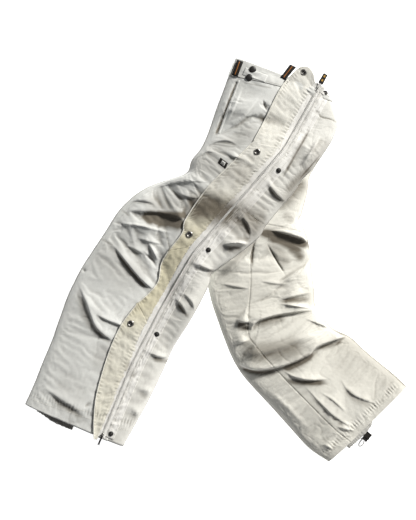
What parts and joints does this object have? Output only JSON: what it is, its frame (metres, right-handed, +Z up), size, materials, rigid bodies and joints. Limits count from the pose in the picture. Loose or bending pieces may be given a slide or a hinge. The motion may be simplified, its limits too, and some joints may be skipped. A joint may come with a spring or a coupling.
{
  "type": "ski pants",
  "caption": "Full side-zip ski pants lying flat on one side, left leg stepping forward, with the storm flap unsnapped and laid open along the closed zip.",
  "frame": {"origin": "under the middle of the outline's box, on the surface that the pants lie on", "axes": "+Y towards the waist, +X towards the wearer's back, +Z up from the surface through the uppermost left leg"},
  "size_m": [0.922, 0.976, 0.062],
  "materials": {
    "shell": "matt twill, off-white",
    "lining": "matt, pale yellow-cream",
    "zip": "satin white",
    "black_plastic": "satin black",
    "snap_metal": "dull nickel",
    "webbing": "woven black-brown with an orange stripe",
    "gaiter": "elastic, dark olive grey",
    "pull": "matt black with ochre marks",
    "label": "matt black and white"
  },
  "bodies": {
    "hips_and_left_leg": {"waistband_left_front": "shell", "waistband_left_back": "shell", "waistband_right": "shell", "left_hip_front_panel": "shell", "left_thigh_front_panel": "shell", "left_knee_front_panel": "shell", "left_shin_front_panel": "shell", "left_yoke_panel": "shell", "left_seat_panel": "shell", "left_thigh_back_panel": "shell", "left_calf_panel": "shell", "left_inner_thigh_panel": "shell", "left_inner_shin_panel": "shell", "right_hip_panel": "shell", "left_gaiter": "gaiter", "zip_chain": "zip", "zip_tape_front": "zip", "zip_tape_back": "zip", "zip_placket": "shell", "zip_stud_1": "black_plastic", "zip_stud_2": "black_plastic", "zip_stud_3": "black_plastic", "zip_stud_4": "black_plastic", "zip_stud_5": "black_plastic", "waist_snap_upper": "black_plastic", "waist_snap_lower": "black_plastic", "belt_loop_front": "webbing", "belt_loop_side": "webbing", "hand_pocket_welt": "shell", "thigh_label": "label", "waist_tab": "shell"},
    "flap_waist_section": {"flap_waist": "lining", "flap_snap_socket_1": "snap_metal"},
    "flap_thigh_section": {"flap_thigh": "lining", "flap_snap_socket_2": "snap_metal", "flap_snap_socket_3": "snap_metal"},
    "flap_knee_section": {"flap_knee": "lining"},
    "flap_shin_section": {"flap_shin": "lining", "flap_snap_socket_4": "snap_metal"},
    "top_slider": {"top_slider_body": "zip"},
    "top_pull": {"top_slider_pull": "pull"},
    "bottom_slider": {"bottom_slider_body": "zip"},
    "bottom_pull": {"bottom_slider_pull": "pull"},
    "right_thigh": {"right_thigh_outer_panel": "shell", "right_thigh_front_panel": "shell", "right_thigh_back_panel": "shell"},
    "right_shin": {"right_shin_outer_panel": "shell", "right_shin_front_panel": "shell", "right_calf_panel": "shell", "right_gaiter": "gaiter", "hook_webbing": "webbing"},
    "boot_hook": {"boot_lace_hook": "snap_metal"}
  },
  "joints": [
    {"name": "flap_thigh_fold", "type": "hinge", "parent": "hips_and_left_leg", "child": "flap_thigh_section", "pos_m": [0.154, 0.265, 0.05991], "axis": [0.6749, 0.7379, -0.0045], "range_deg": [0, 184]},
    {"name": "flap_waist_fold", "type": "hinge", "parent": "hips_and_left_leg", "child": "flap_waist_section", "pos_m": [0.239, 0.421, 0.02593], "axis": [0.4734, 0.8688, -0.1451], "range_deg": [0, 169.3]},
    {"name": "flap_knee_fold", "type": "hinge", "parent": "hips_and_left_leg", "child": "flap_knee_section", "pos_m": [-0.06, 0.031, 0.05341], "axis": [0.494, 0.8645, 0.0925], "range_deg": [0, 178.5]},
    {"name": "flap_shin_fold", "type": "hinge", "parent": "hips_and_left_leg", "child": "flap_shin_section", "pos_m": [-0.164, -0.151, 0.03419], "axis": [0.3939, 0.9191, 0.0136], "range_deg": [0, 180.4]},
    {"name": "top_slider_travel", "type": "slide", "parent": "hips_and_left_leg", "child": "top_slider", "axis": [-0.4813, -0.863, 0.1535], "range_m": [0, 0.13]},
    {"name": "top_pull_swing", "type": "hinge", "parent": "top_slider", "child": "top_pull", "pos_m": [0.24715, 0.4141, 0.02448], "axis": [0.8733, -0.4871, 0], "range_deg": [0, 172]},
    {"name": "bottom_slider_travel", "type": "slide", "parent": "hips_and_left_leg", "child": "bottom_slider", "axis": [0.386, 0.9224, 0.0163], "range_m": [0, 0.15]},
    {"name": "bottom_pull_swing", "type": "hinge", "parent": "bottom_slider", "child": "bottom_pull", "pos_m": [-0.27191, -0.42262, 0.02862], "axis": [-0.9225, 0.386, 0], "range_deg": [0, 178]},
    {"name": "right_hip_swing", "type": "hinge", "parent": "hips_and_left_leg", "child": "right_thigh", "pos_m": [0.102, 0.165, 0], "axis": [0, 0, 1], "range_deg": [0, 16]},
    {"name": "right_knee_bend", "type": "hinge", "parent": "right_thigh", "child": "right_shin", "pos_m": [0.112, -0.088, 0], "axis": [0, 0, 1], "range_deg": [-30, 30]},
    {"name": "boot_hook_swing", "type": "hinge", "parent": "right_shin", "child": "boot_hook", "pos_m": [0.36, -0.433, 0.0085], "axis": [-0.7828, 0.6222, 0], "range_deg": [0, 110]}
  ],
  "couplings": [
    {"joint": "flap_waist_fold", "follows": "flap_thigh_fold", "ratio": 0.92},
    {"joint": "flap_knee_fold", "follows": "flap_thigh_fold", "ratio": 0.97},
    {"joint": "flap_shin_fold", "follows": "flap_thigh_fold", "ratio": 0.98}
  ]
}
